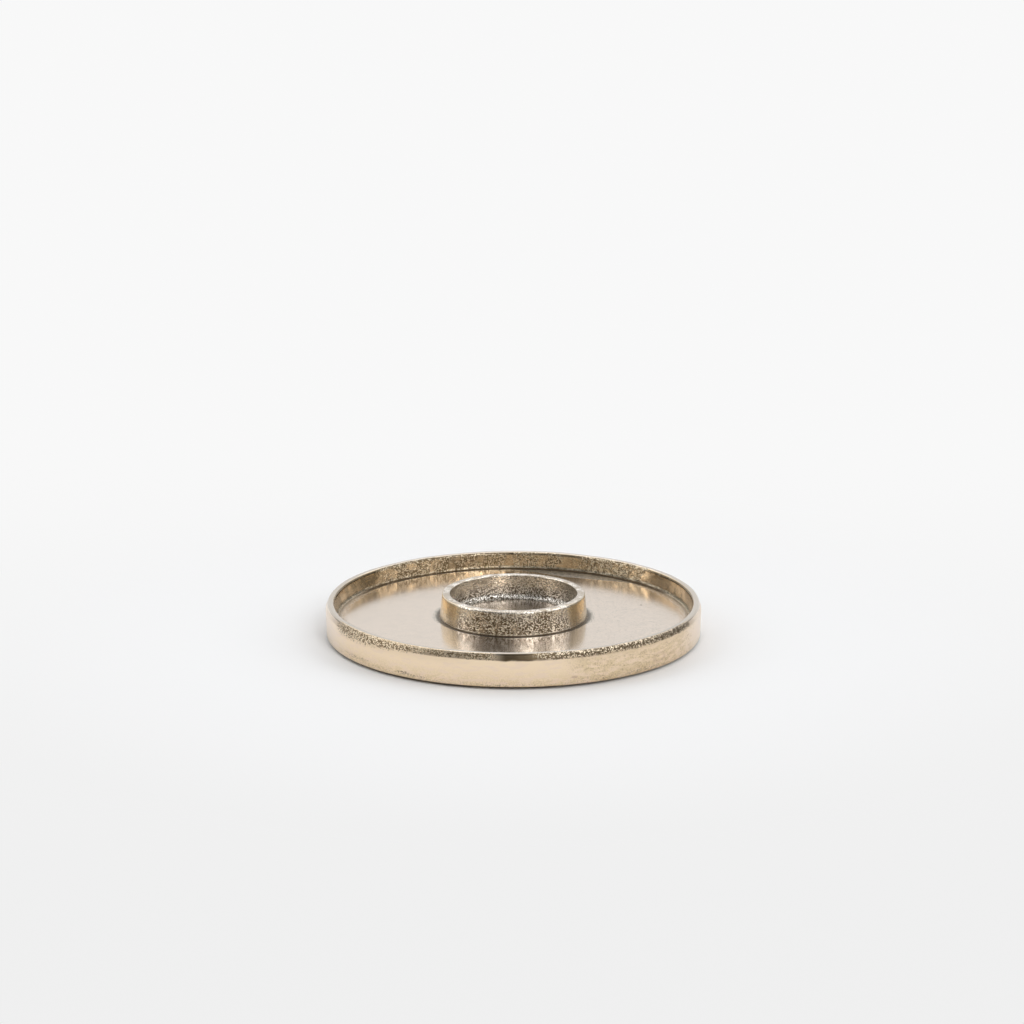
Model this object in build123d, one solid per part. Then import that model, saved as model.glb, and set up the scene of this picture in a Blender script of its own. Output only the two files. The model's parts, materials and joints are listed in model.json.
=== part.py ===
from build123d import *
import math
import os

# A round cast candle plate: a shallow dish whose rim stands up round a flat tray, and in the
# middle of the tray a short cast ring that holds one pillar candle. The ring is let into a
# shallow seat in the tray and held by countersunk screws from beneath. Felt pads lift the
# lower edge off the table.
# Lengths are in millimetres and angles in degrees. The axis of the plate is Z, and z = 0 is
# the table that the pads rest on.

# Dish
dish_radius = 110.0          # widest, where the lip's easing starts, before its corner is rounded
lip_drop = 10.2              # lip down to the tray
tray_thickness = 4.0
recess_depth = 5.1           # underside of the tray above the lower edge
rim_top_width = 5.1          # widest radius to the rim's inner face, at the lip
lip_ease_width = 1.5         # how far the eased outer edge of the lip comes in
lip_ease_height = 3.8        # how far down the wall the easing starts
lip_ease_foot_radius = 2.0   # rounding where the wall goes over into the easing
lip_outer_radius = 1.2       # edge radius between the easing and the top of the lip
lip_inner_radius = 2.0       # edge radius on the inside of the lip
wall_lean = 0.5              # how much narrower the outer wall is at the lower edge
lower_edge_radius = 0.8
tray_corner_radius = 1.2
tray_draft = 6.0
land_width = 14.0            # flat ring on the underside that the pads stick to
land_edge_radius = 0.6
recess_corner_radius = 2.0
recess_draft = 4.0

# Candle ring
bore_radius = 37.3
ring_height = 14.4           # tray to the top of the ring
ring_top_width = 4.4
ring_flare = 1.6             # how much wider the outside is at the tray
ring_outer_edge_radius = 1.3
ring_inner_edge_radius = 0.7
ring_foot_radius = 0.5       # fillet round the outside of the foot
bore_foot_radius = 3.2       # fillet round the inside of the foot
ring_foot_edge = 0.2         # left flat between each foot fillet and the edge of the seat
seat_depth = 0.8
seat_clearance = 0.15

# Countersunk screws that hold the ring
screw_count = 4
screw_radius = 1.5
screw_length = 9.6
screw_head_radius = 2.9
screw_head_rim = 0.25        # straight edge of the head, below its cone
screw_socket_width = 2.0     # across the flats of the hexagon socket
screw_socket_depth = 1.1
screw_tip_chamfer = 0.4
screw_hole_clearance = 0.2   # round the shank where it goes through the tray
screw_thread_clearance = 0.05
screw_head_clearance = 0.05
screw_tip_clearance = 0.6    # depth of the ring's hole beyond the tip

# Felt pads
pad_count = 4
pad_radius = 4.0
pad_height = 1.5
pad_edge_chamfer = 0.3

first_angle = 45.0           # screws and pads start midway between the X and Y axes

# Levels and radii that follow from the sizes above
lower_edge = pad_height
recess_roof = lower_edge + recess_depth
tray = recess_roof + tray_thickness
lip = tray + lip_drop
rim_inner_radius = dish_radius - rim_top_width
wall_foot_radius = dish_radius - wall_lean
land_outer_radius = wall_foot_radius - lower_edge_radius
land_inner_radius = land_outer_radius - land_width
ring_seat = tray - seat_depth
ring_top = tray + ring_height
ring_top_radius = bore_radius + ring_top_width
ring_flared_radius = ring_top_radius + ring_flare
ring_foot_outer = ring_flared_radius + ring_foot_radius + ring_foot_edge
ring_foot_inner = bore_radius - bore_foot_radius - ring_foot_edge
screw_ring_radius = bore_radius + ring_top_width / 2
pad_ring_radius = (land_inner_radius + land_outer_radius) / 2


def drop_at(depth, draft):
    """How far a wall with this draft leans over this depth."""
    return depth * math.tan(math.radians(draft))


def round_corners(face, corners):
    """Rounds the named corners of a flat outline. A corner is (point, radius)."""
    for point, radius in corners:
        vertex = face.vertices().sort_by_distance((point[0], point[1], 0))[0]
        face = fillet(vertex, radius)
    return face


def spin(outline):
    """Turns an outline of (radius, height) once round the plate's axis."""
    return revolve(Plane.XZ * outline, Axis.Z)


def places(radius, count):
    """Evenly spaced places on a circle about the axis, as (x, y)."""
    spots = []
    for index in range(count):
        angle = math.radians(first_angle + index * 360 / count)
        spots.append((radius * math.cos(angle), radius * math.sin(angle)))
    return spots


def dish_outline():
    """Half section of the dish, without the holes for the screws."""
    recess_top_radius = land_inner_radius - drop_at(recess_depth, recess_draft)
    tray_radius = rim_inner_radius - drop_at(lip_drop, tray_draft)
    seat_outer = ring_foot_outer + seat_clearance
    seat_inner = ring_foot_inner - seat_clearance
    recess_corner = (recess_top_radius, recess_roof)
    land_edge = (land_inner_radius, lower_edge)
    lower_corner = (wall_foot_radius, lower_edge)
    lip_corner = (rim_inner_radius, lip)
    tray_corner = (tray_radius, tray)
    ease_foot = (dish_radius, lip - lip_ease_height)
    ease_top = (dish_radius - lip_ease_width, lip)
    outline = Polyline(
        (0, recess_roof), recess_corner, land_edge, lower_corner, ease_foot, ease_top,
        lip_corner, tray_corner, (seat_outer, tray), (seat_outer, ring_seat),
        (seat_inner, ring_seat), (seat_inner, tray), (0, tray), close=True)
    return round_corners(make_face(outline), [
        (recess_corner, recess_corner_radius), (land_edge, land_edge_radius),
        (lower_corner, lower_edge_radius), (ease_foot, lip_ease_foot_radius),
        (ease_top, lip_outer_radius), (lip_corner, lip_inner_radius),
        (tray_corner, tray_corner_radius)])


def dish():
    """The cast dish with its countersunk holes."""
    body = spin(dish_outline())
    hole_radius = screw_radius + screw_hole_clearance
    sink_radius = screw_head_radius + screw_head_clearance
    rim = screw_head_rim + screw_head_clearance
    cutter = Polyline(
        (0, recess_roof), (sink_radius, recess_roof), (sink_radius, recess_roof + rim),
        (hole_radius, recess_roof + rim + sink_radius - hole_radius), (hole_radius, tray),
        (0, tray), close=True)
    hole = spin(make_face(cutter))
    for x, y in places(screw_ring_radius, screw_count):
        body -= Pos(x, y, 0) * hole
    return body


def candle_ring():
    """The cast ring that holds the candle, with a flared outside and a filleted foot."""
    outer_corner = (ring_flared_radius, tray)
    inner_corner = (bore_radius, tray)
    top_outer = (ring_top_radius, ring_top)
    top_inner = (bore_radius, ring_top)
    outline = Polyline(
        (ring_foot_inner, ring_seat), (ring_foot_outer, ring_seat), (ring_foot_outer, tray),
        outer_corner, top_outer, top_inner, inner_corner, (ring_foot_inner, tray), close=True)
    face = round_corners(make_face(outline), [
        (outer_corner, ring_foot_radius), (inner_corner, bore_foot_radius),
        (top_outer, ring_outer_edge_radius), (top_inner, ring_inner_edge_radius)])
    body = spin(face)
    hole_radius = screw_radius + screw_thread_clearance
    hole_top = recess_roof + screw_length + screw_tip_clearance
    hole = Cylinder(
        hole_radius, hole_top - ring_seat, align=(Align.CENTER, Align.CENTER, Align.MIN))
    for x, y in places(screw_ring_radius, screw_count):
        body -= Pos(x, y, ring_seat) * hole
    return body


def ring_screw():
    """One countersunk screw, head down, with its axis on Z and its head at z = 0."""
    cone_top = screw_head_rim + screw_head_radius - screw_radius
    outline = Polyline(
        (0, 0), (screw_head_radius, 0), (screw_head_radius, screw_head_rim),
        (screw_radius, cone_top), (screw_radius, screw_length - screw_tip_chamfer),
        (screw_radius - screw_tip_chamfer, screw_length), (0, screw_length), close=True)
    socket = extrude(RegularPolygon(screw_socket_width / 2, 6, major_radius=False), screw_socket_depth)
    return spin(make_face(outline)) - socket


def felt_pad():
    """One round felt pad standing on the table, with its axis on Z."""
    pad = Cylinder(pad_radius, pad_height, align=(Align.CENTER, Align.CENTER, Align.MIN))
    return chamfer(pad.edges().group_by(Axis.Z)[0], pad_edge_chamfer)


def save(solid, node):
    """Writes one piece under its own name."""
    export_step(solid, os.path.join("parts", node + ".step"))


os.makedirs("parts", exist_ok=True)
save(dish(), "dish")
save(candle_ring(), "candle_ring")
for index, (x, y) in enumerate(places(screw_ring_radius, screw_count)):
    save(Pos(x, y, recess_roof) * ring_screw(), "ring_screw_%d" % (index + 1))
for index, (x, y) in enumerate(places(pad_ring_radius, pad_count)):
    save(Pos(x, y, 0) * felt_pad(), "felt_pad_%d" % (index + 1))
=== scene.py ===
import json
import math

import bmesh
import bpy
import numpy as np
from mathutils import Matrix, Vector, noise


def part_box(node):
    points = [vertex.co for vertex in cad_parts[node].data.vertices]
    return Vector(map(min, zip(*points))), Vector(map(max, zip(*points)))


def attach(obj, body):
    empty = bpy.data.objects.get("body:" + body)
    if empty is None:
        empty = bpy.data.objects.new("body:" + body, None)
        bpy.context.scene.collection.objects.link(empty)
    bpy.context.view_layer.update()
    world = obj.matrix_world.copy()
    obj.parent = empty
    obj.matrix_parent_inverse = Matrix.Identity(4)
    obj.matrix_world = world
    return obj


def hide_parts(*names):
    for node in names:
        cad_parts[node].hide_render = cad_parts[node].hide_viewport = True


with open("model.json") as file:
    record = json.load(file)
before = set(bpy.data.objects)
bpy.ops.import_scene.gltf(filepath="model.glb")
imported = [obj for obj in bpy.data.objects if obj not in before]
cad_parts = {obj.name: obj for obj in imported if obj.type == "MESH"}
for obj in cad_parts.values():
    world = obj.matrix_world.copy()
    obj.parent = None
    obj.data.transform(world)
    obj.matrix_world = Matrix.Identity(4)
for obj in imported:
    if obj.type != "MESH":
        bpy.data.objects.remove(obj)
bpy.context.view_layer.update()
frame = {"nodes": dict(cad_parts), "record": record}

# Looks of the candle plate: a rough cast dish in antique brass with a candle ring in its middle.
# Lengths are in metres and angles in degrees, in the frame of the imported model. A turn is an angle
# about the plate's axis, 0 at the front and positive to the right.
MM = 0.001
SCREWS = 4
PADS = 4

# Sizes read from the frame
record = frame["record"]
mounts = {mount["name"]: mount for mount in record["mounts"]}
dish_low, dish_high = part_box("dish")
ring_low, ring_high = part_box("candle_ring")
screw_boxes = [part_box("ring_screw_%d" % (index + 1)) for index in range(SCREWS)]
pad_boxes = [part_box("felt_pad_%d" % (index + 1)) for index in range(PADS)]
dish_radius = round(dish_high.x, 4)      # its corner is rounded by a few hundredths of a millimetre
lower_edge = dish_low.z
lip = dish_high.z
tray = mounts["candle_seat"]["pos_m"][2]
bore_radius = mounts["candle_socket"]["dims"]["r_mm"] * MM
ring_top = ring_high.z
ring_seat = ring_low.z
ring_foot_outer = ring_high.x
recess_roof = screw_boxes[0][0].z
screw_top = screw_boxes[0][1].z
screw_head_radius = (screw_boxes[0][1].x - screw_boxes[0][0].x) / 2

# Sizes of the dish's section that the frame's boxes don't give
rim_top_width = 5.1 * MM
lip_ease_width = 1.5 * MM
lip_ease_height = 3.8 * MM
lip_ease_foot_rounding = 2.0 * MM
lip_outer_rounding = 1.2 * MM
lip_inner_rounding = 2.0 * MM
wall_lean = 0.5 * MM
lower_edge_rounding = 0.8 * MM
tray_rounding = 1.2 * MM
tray_draft = 6.0
land_width = 14.0 * MM
land_rounding = 0.6 * MM
recess_rounding = 2.0 * MM
recess_draft = 4.0
seat_clearance = 0.15 * MM

# Sizes of the ring's section
ring_top_width = 4.4 * MM
ring_flare = 1.6 * MM
ring_outer_rounding = 1.3 * MM
ring_inner_rounding = 0.7 * MM
ring_foot_rounding = 0.5 * MM
bore_foot_rounding = 3.2 * MM
ring_foot_edge = 0.2 * MM

# Sizes of the screws' holes and of the pads
hole_radius = 1.7 * MM
thread_radius = 1.55 * MM
head_clearance = 0.05 * MM
head_rim = 0.3 * MM
tip_clearance = 0.6 * MM
pad_chamfer = 0.3 * MM
pad_top_rounding = 0.08 * MM
pad_rounding = 0.1 * MM

rim_inner_radius = dish_radius - rim_top_width
wall_foot_radius = dish_radius - wall_lean
land_outer_radius = wall_foot_radius - lower_edge_rounding
land_inner_radius = land_outer_radius - land_width
tray_radius = rim_inner_radius - (lip - tray) * math.tan(math.radians(tray_draft))
recess_radius = land_inner_radius - (recess_roof - lower_edge) * math.tan(math.radians(recess_draft))
ring_top_radius = bore_radius + ring_top_width
ring_flared_radius = ring_top_radius + ring_flare
ring_foot_inner = bore_radius - bore_foot_rounding - ring_foot_edge
crevice_radius = tray_radius - tray_rounding * math.tan(math.radians((90 - tray_draft) / 2))

# Camera, fitted to the ellipses of the rims in the photograph
PICTURE = 1024               # pixels across the photograph's frame
FOCAL_PIXELS = 3000
SENSOR = 36.0                # millimetres, as Blender has it
CAMERA_PLACE = (-0.868 * MM, -1690.2 * MM, 508.7 * MM)
CAMERA_PITCH = 14.44         # below the horizon
CLIP = (0.01, 60)

# Light of the studio, as strengths where 1 is white, and directions as seen from the plate:
# azimuth from the camera's side, positive to the right, and height above the horizon
BACKDROP = (0.868, 0.940)    # at the front and at the back
BACKDROP_ENDS = (-0.5, 0.5)  # where along the view those are
BEHIND = 0.92
OVERHEAD = 1.62
OVERHEAD_EDGE = (70, 34)     # its height at the front and at the back
ZENITH = 1.05
ROOM = 0.22
BEHIND_FROM = 114
BEHIND_LOW_FROM = 140        # the same, near the horizon
BEHIND_HEIGHTS = (4, 20)     # between which BEHIND_LOW_FROM goes over into BEHIND_FROM
BEHIND_FADE = 10
OVERHEAD_SIDES = (84, 134)   # between which the overhead's edge comes down
OVERHEAD_FADE = 8
ZENITH_HEIGHTS = (52, 74)
# Two softboxes and a strip: azimuth, half width, lowest and highest height, how far those fade, strength
LAMPS = ((-86, 13, 14, 52, 5, 2.4), (77, 16, 14, 52, 5, 2.4), (26, 8, 25, 52, 6, 6.0))
LAMP_FADE = 4
FLOOR_COLOUR = (0.835, 0.839, 0.846, 1)
FLOOR_HALF = 9.0
FLOOR_FADE = (0.14, 0.35)    # distances between which the floor turns into the backdrop

# Colours, linear
OUTER_BRASS = (0.91, 0.735, 0.53, 1)
OLIVE_BRASS = (0.75, 0.60, 0.385, 1)
OLIVE_DARK = (0.40, 0.275, 0.155, 1)
PINK_BRASS = (0.85, 0.68, 0.54, 1)
# Painted grazing sheen on the sides of the outer wall
GRAZING_SHEEN_BRASS = (0.80, 0.73, 0.68, 1)
TRAY_BRASS = (0.76, 0.66, 0.565, 1)
TRAY_GREY = (0.68, 0.60, 0.52, 1)
TRAY_SPECK = (0.42, 0.36, 0.30, 1)
WALL_BRASS = (0.78, 0.60, 0.38, 1)
WALL_DARK = (0.48, 0.37, 0.22, 1)
BRIGHT_BRASS = (0.92, 0.80, 0.60, 1)
LIP_BRASS = (0.61, 0.55, 0.475, 1)
BAND_BRASS = (0.55, 0.41, 0.25, 1)
BAND_BROWN = (0.28, 0.20, 0.12, 1)
BAND_TINT = (0.74, 0.58, 0.41, 1)
BAND_DARK = (0.15, 0.105, 0.060, 1)
# Painted dark reflection at the front of the lip band
FRONT_REFLECTION_DARK = (0.17, 0.125, 0.075, 1)
UNDER_BRASS = (0.42, 0.33, 0.21, 1)
RED_STAIN = (0.62, 0.45, 0.33, 1)
# Patina in the hollows, also the colour of a painted dark reflection below the lip
PATINA_AND_DARK_REFLECTION = (0.085, 0.060, 0.035, 1)
GREY_PATINA = (0.19, 0.18, 0.15, 1)
GREEN_PATINA = (0.25, 0.245, 0.195, 1)
RING_BRASS = (0.84, 0.745, 0.60, 1)
RING_GOLD = (0.98, 0.82, 0.58, 1)
RING_OLIVE = (0.62, 0.53, 0.38, 1)
RING_GREY = (0.76, 0.69, 0.605, 1)
BORE_DARK = (0.10, 0.092, 0.080, 1)
BORE_PALE = (0.80, 0.775, 0.73, 1)
RING_SILVER = (0.97, 0.92, 0.84, 1)
# Painted on the ring: brown for shade and dark reflections, pale for reflections of the lamps
RING_SHADE_BROWN = (0.34, 0.265, 0.19, 1)
RING_LAMP_REFLECTION = (0.94, 0.88, 0.82, 1)
RING_TOP_BRASS = (0.54, 0.46, 0.37, 1)
RING_TOP_PALE = (0.93, 0.875, 0.80, 1)
FELT = (0.060, 0.042, 0.030, 1)
FELT_LIGHT = (0.13, 0.095, 0.07, 1)
STEEL = (0.56, 0.55, 0.53, 1)
STEEL_DULL = (0.33, 0.32, 0.30, 1)

# Roughness of the surfaces. Fine grain blurs in the render where this is under about 0.28.
PLAIN_ROUGH = 0.24
TRAY_ROUGH = 0.17
WALL_ROUGH = 0.13
LIP_ROUGH = 0.16
RING_ROUGH = 0.19
SATIN_ROUGH = 0.29
BEAD_ROUGH = 0.30
PIT_ROUGH = 0.42
UNDER_ROUGH = 0.45

# Sizes of the grain and clouds in the metals' colour
FINE_GRAIN = 0.38 * MM
CELL = 0.58 * MM             # of pits and beads
DISH_LUMP = 0.85 * MM
RING_LUMP = 0.8 * MM
DISH_CLOUD = 7 * MM
RING_CLOUD = 6 * MM
WIDE_CLOUD = 28 * MM
PIT_SHARES = (0.50, 0.42)    # a cell with a value under the second is a pit
PEAK_SHARES = (0.60, 0.68)   # and with one over the second a bead

# Where the marks on the dish are, as pairs of turns, or of sides, which are turns without a sign
OLIVE_TURNS = (22, 60)
FLECK_TURNS = (22, 64)
# Sides where the outer wall carries a painted grazing sheen
GRAZING_SHEEN_SIDES = (54, 80)
GRAINY_TURN = 88             # middle of the grainy part of the tray
# Turns where the lip band carries a painted dark reflection at the front
FRONT_REFLECTION_TURNS = (-2, 8)
BROWN_TURNS = (18, 60)
DARKEST_TURNS = (14, 66)
GREY_TURNS = ((-116, -72), (76, 128))
GLINT_SIDES = (132, 150)
MORE_PITS = ((8, 66, 0.30), (-166, -124, 0.12))  # from, to, how much more
SMEAR_TURNS = (23, 34)       # middle and half width, counted from the back
SMEAR_WIDTH = 12.5 * MM
BAND_WIDENS = (-22, -58)
BAND_NARROWS = (-120, -84)
BAND_DEPTH = 5.0 * MM        # below the lip, and more by the next at the left
BAND_LEFT_DEPTH = 4.4 * MM
BAND_WAVE = 2.0 * MM
DOT = (75.8 * MM, 22.5 * MM)
DOT_RADII = (0.9 * MM, 0.4 * MM)

# Marks on the outer wall: turn, height, half width in turn, half height, strength, and a stain's colour.
# A ring stain is hollow and reddish.
STAINS = (
    (18.0, 6.0 * MM, 1.3, 1.0 * MM, 0.8, RED_STAIN), (37.0, 6.0 * MM, 8.0, 4.0 * MM, 0.4, OLIVE_BRASS))
RING_STAINS = ((48.5, 8.0 * MM, 2.4, 2.4 * MM, 0.4), (55.0, 7.8 * MM, 1.0, 1.0 * MM, 0.4))
SCRATCHES = (
    (-34.5, 4.2 * MM, 3.0, 1.3 * MM, 1.0), (-30.5, 3.6 * MM, 5.0, 0.7 * MM, 0.9),
    (-4.0, 2.2 * MM, 7.0, 0.9 * MM, 0.7), (42.0, 3.5 * MM, 9.0, 1.2 * MM, 0.7),
    (-55.0, 5.0 * MM, 9.0, 1.5 * MM, 0.7), (120.0, 4.0 * MM, 8.0, 1.4 * MM, 0.8),
    (-160.0, 4.5 * MM, 7.0, 1.5 * MM, 0.8))

# Where the marks on the ring are. A streak is (turn, half width, strength); the streaks are painted
# reflections, pale of the lamps and brown of the dim room.
RING_END_SIDES = (54, 104)
RING_SHADED_TURNS = (-31, -7)
LAMP_REFLECTION_STREAKS = ((11, 10, 0.9), (-41, 8, 0.6), (43, 10, 0.7))
DARK_REFLECTION_STREAKS = ((26, 11, 0.75), (64, 10, 0.4), (-3, 5, 0.4))

# Points of the meshes. On the dish they double with the radius, given here as (radius above which, points).
DISH_SEGMENTS = ((70 * MM, 768), (30 * MM, 384), (12 * MM, 192), (0, 96))
RING_SEGMENTS = 480
PAD_SEGMENTS = 96
HOLE_SEGMENTS = 48
ARC_STEP = math.radians(14)
SHARP_EDGE = math.radians(40)                    # a fold sharper than this isn't shaded smooth

# Sizes of the castings' and the felt's lumps
DISH_LUMPS = (26 * MM, 8 * MM, 2.6 * MM, 34 * MM)
RING_LUMPS = (12 * MM, 3.2 * MM, 1.3 * MM)
FELT_LUMPS = (0.5 * MM, 0.2 * MM)

# Turns where the inner wall is rough, as (middle, half width)
ROUGH_WALL = ((-139, 6), (-158, 8), (-173, 4), (173, 5), (144, 10), (72, 8), (-84, 6))


class Graph:
    """Short calls for the nodes of one tree. A value is a number, a colour or another node's output."""

    def __init__(self, tree):
        self.tree = tree
        tree.nodes.clear()

    def node(self, kind, settings=None, **values):
        made = self.tree.nodes.new(kind)
        for name, value in (settings or {}).items():
            setattr(made, name, value)
        for name, value in values.items():
            self.put(made.inputs[name.replace("_", " ")], value)
        return made

    def put(self, socket, value):
        if isinstance(value, bpy.types.NodeSocket):
            self.tree.links.new(value, socket)
        else:
            socket.default_value = value

    def maths(self, operation, first, second=0.0, third=0.0):
        made = self.node("ShaderNodeMath", {"operation": operation})
        for socket, value in zip(made.inputs, (first, second, third)):
            self.put(socket, value)
        return made.outputs[0]

    def add(self, first, second):
        return self.maths("ADD", first, second)

    def less(self, first, second):
        return self.maths("SUBTRACT", first, second)

    def times(self, first, second):
        return self.maths("MULTIPLY", first, second)

    def greater(self, first, second):
        return self.maths("MAXIMUM", first, second)

    def rise(self, value, low, high, start=0.0, end=1.0):
        """Goes smoothly from start to end as value goes from low to high."""
        made = self.node("ShaderNodeMapRange", {"interpolation_type": "SMOOTHSTEP"}, Value=value)
        for name, number in (("From Min", low), ("From Max", high), ("To Min", start), ("To Max", end)):
            self.put(made.inputs[name], number)
        return made.outputs["Result"]

    def band(self, value, low, high, soft):
        """1 between low and high, falling smoothly to 0 over soft on either side."""
        return self.times(self.rise(value, low - soft, low), self.rise(value, high, high + soft, 1.0, 0.0))

    def near(self, value, middle, width):
        """1 at middle, falling to 0 at width either side of it."""
        away = self.maths("ABSOLUTE", self.less(value, middle))
        return self.rise(away, 0.0, width, 1.0, 0.0)

    def away(self, turn, height, half_turn, half_height):
        """Distance from a place on the wall, 1 on an ellipse of these half widths about it."""
        across = self.times(self.less(self.turn, turn), 1 / half_turn)
        up = self.times(self.less(self.height, height), 1 / half_height)
        return self.maths("SQRT", self.add(self.times(across, across), self.times(up, up)))

    def spots(self, places, least):
        """The greatest of least and of soft spots, each (turn, half width, strength)."""
        for turn, half, strength in places:
            least = self.greater(least, self.times(self.near(self.turn, turn, half), strength))
        return least

    def mix(self, share, first, second):
        made = self.node("ShaderNodeMix", {"data_type": "RGBA", "clamp_factor": True})
        self.put(made.inputs[0], share)
        self.put(made.inputs[6], first)
        self.put(made.inputs[7], second)
        return made.outputs[2]

    def blend(self, share, first, second):
        """Between two numbers."""
        made = self.node("ShaderNodeMix", {"data_type": "FLOAT", "clamp_factor": True})
        self.put(made.inputs[0], share)
        self.put(made.inputs[2], first)
        self.put(made.inputs[3], second)
        return made.outputs[0]

    def stretch(self, place, along):
        made = self.node("ShaderNodeVectorMath", {"operation": "MULTIPLY"})
        self.put(made.inputs[0], place)
        made.inputs[1].default_value = along
        return made.outputs[0]

    def grain(self, place, size, detail=2.0, rough=0.5):
        """Noise from 0 to 1 whose lumps are about this size."""
        made = self.node(
            "ShaderNodeTexNoise", Vector=place, Scale=1 / size, Detail=detail, Roughness=rough)
        return made.outputs["Fac"]

    def cells(self, place, size, lumps):
        """A mixture of random cells of about this size and noise, from 0 to 1 with half of it below 0.5."""
        made = self.node("ShaderNodeTexVoronoi", Vector=place, Scale=1 / size)
        shade = self.node("ShaderNodeSeparateColor", Color=made.outputs["Color"]).outputs["Red"]
        return self.add(self.add(self.times(shade, 0.85), self.times(lumps, 0.7)), -0.275)


def make_camera():
    data = bpy.data.cameras.new("camera")
    data.sensor_width = SENSOR
    data.lens = FOCAL_PIXELS / PICTURE * SENSOR
    data.clip_start, data.clip_end = CLIP
    camera = bpy.data.objects.new("camera", data)
    camera.location = CAMERA_PLACE
    camera.rotation_euler = (math.radians(90 - CAMERA_PITCH), 0, 0)
    bpy.context.scene.collection.objects.link(camera)
    bpy.context.scene.camera = camera


def make_studio():
    """White behind and overhead, a dim room in front with a bright strip, and a softbox either side."""
    world = bpy.data.worlds.new("studio")
    bpy.context.scene.world = world
    world.use_nodes = True
    g = Graph(world.node_tree)
    direction = g.node("ShaderNodeTexCoord").outputs["Generated"]
    x, y, z = g.node("ShaderNodeSeparateXYZ", Vector=direction).outputs
    turn = g.maths("DEGREES", g.maths("ARCTAN2", x, g.times(y, -1.0)))
    height = g.maths("DEGREES", g.maths("ARCSINE", z))
    side = g.maths("ABSOLUTE", turn)
    starts = g.rise(height, *BEHIND_HEIGHTS, BEHIND_LOW_FROM, BEHIND_FROM)
    level = g.rise(g.less(side, starts), -BEHIND_FADE, BEHIND_FADE, ROOM, BEHIND)
    above = g.less(height, g.rise(side, *OVERHEAD_SIDES, *OVERHEAD_EDGE))
    ceiling = g.rise(height, *ZENITH_HEIGHTS, OVERHEAD, ZENITH)
    level = g.blend(g.rise(above, -OVERHEAD_FADE, OVERHEAD_FADE), level, ceiling)
    for azimuth, half, low, high, fade, strength in LAMPS:
        across = g.band(turn, azimuth - half, azimuth + half, LAMP_FADE)
        level = g.greater(level, g.times(g.times(across, g.band(height, low, high, fade)), strength))
    seen = g.node("ShaderNodeLightPath").outputs["Is Camera Ray"]
    lit = g.node("ShaderNodeBackground", Strength=level)
    plain = g.node("ShaderNodeBackground", Strength=BACKDROP[1])
    for background in (lit, plain):
        background.inputs["Color"].default_value = (1, 1, 1, 1)
    shown = g.node("ShaderNodeMixShader", Fac=seen)
    g.put(shown.inputs[1], lit.outputs[0])
    g.put(shown.inputs[2], plain.outputs[0])
    g.node("ShaderNodeOutputWorld", Surface=shown.outputs[0])


def make_floor():
    mesh = bpy.data.meshes.new("floor")
    half = FLOOR_HALF
    corners = [(-half, -half, 0), (half, -half, 0), (half, half, 0), (-half, half, 0)]
    mesh.from_pydata(corners, [], [(0, 1, 2, 3)])
    floor = bpy.data.objects.new("floor", mesh)
    bpy.context.scene.collection.objects.link(floor)
    material = bpy.data.materials.new("floor")
    material.use_nodes = True
    g = Graph(material.node_tree)
    place = g.node("ShaderNodeTexCoord").outputs["Object"]
    away = g.node("ShaderNodeVectorMath", {"operation": "LENGTH"}, Vector=place).outputs["Value"]
    along = g.node("ShaderNodeSeparateXYZ", Vector=place).outputs["Y"]
    matt = g.node("ShaderNodeBsdfDiffuse", Color=FLOOR_COLOUR)
    far = g.node("ShaderNodeEmission", Strength=g.rise(along, *BACKDROP_ENDS, *BACKDROP))
    both = g.node("ShaderNodeMixShader", Fac=g.rise(away, *FLOOR_FADE))
    g.put(both.inputs[1], matt.outputs[0])
    g.put(both.inputs[2], far.outputs[0])
    g.node("ShaderNodeOutputMaterial", Surface=both.outputs[0])
    mesh.materials.append(material)


def rounded(corners):
    """Outline through the corners, as (radius, height) points. A corner is (radius, height, rounding,
    longest step on the run that leaves it)."""
    points = []
    count = len(corners)
    ends = []
    for index, (r, z, rounding, _) in enumerate(corners):
        here = np.array((r, z))
        if rounding == 0 or index in (0, count - 1):
            ends.append((here, here))
            points.append([here])
            continue
        before = np.array(corners[index - 1][:2]) - here
        after = np.array(corners[index + 1][:2]) - here
        before /= np.linalg.norm(before)
        after /= np.linalg.norm(after)
        half_angle = math.acos(np.clip(before @ after, -1, 1)) / 2
        reach = rounding / math.tan(half_angle)
        middle = here + (before + after) / np.linalg.norm(before + after) * rounding / math.sin(half_angle)
        start = here + before * reach - middle
        end = here + after * reach - middle
        a, b = math.atan2(start[1], start[0]), math.atan2(end[1], end[0])
        sweep = (b - a + math.pi) % (2 * math.pi) - math.pi
        steps = max(2, math.ceil(abs(sweep) / ARC_STEP))
        angles = [a + sweep * k / steps for k in range(steps + 1)]
        arc = [middle + rounding * np.array((math.cos(angle), math.sin(angle))) for angle in angles]
        ends.append((arc[0], arc[-1]))
        points.append(arc)
    outline = []
    for index, arc in enumerate(points):
        outline.extend(arc)
        if index + 1 < count:
            start, end = ends[index][1], ends[index + 1][0]
            steps = max(1, math.ceil(np.linalg.norm(end - start) / corners[index][3]))
            outline.extend(start + (end - start) * k / steps for k in range(1, steps))
    return [tuple(point) for point in outline]


def smooth(value, low, high):
    share = np.clip((value - low) / (high - low), 0, 1)
    return share * share * (3 - 2 * share)


def lumps(places, size, seed):
    """Noise from about -1 to 1 at each place, with lumps of about this size."""
    shift = Vector((seed * 7.3, seed * 3.1, seed * 5.7))
    return np.array([noise.noise(Vector(place) / size + shift) for place in places])


def lumps_of(places, sizes, seed):
    """One such noise for each size."""
    return [lumps(places, size, seed + index) for index, size in enumerate(sizes)]


def turns(places):
    return np.degrees(np.arctan2(places[:, 0], -places[:, 1]))


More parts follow.
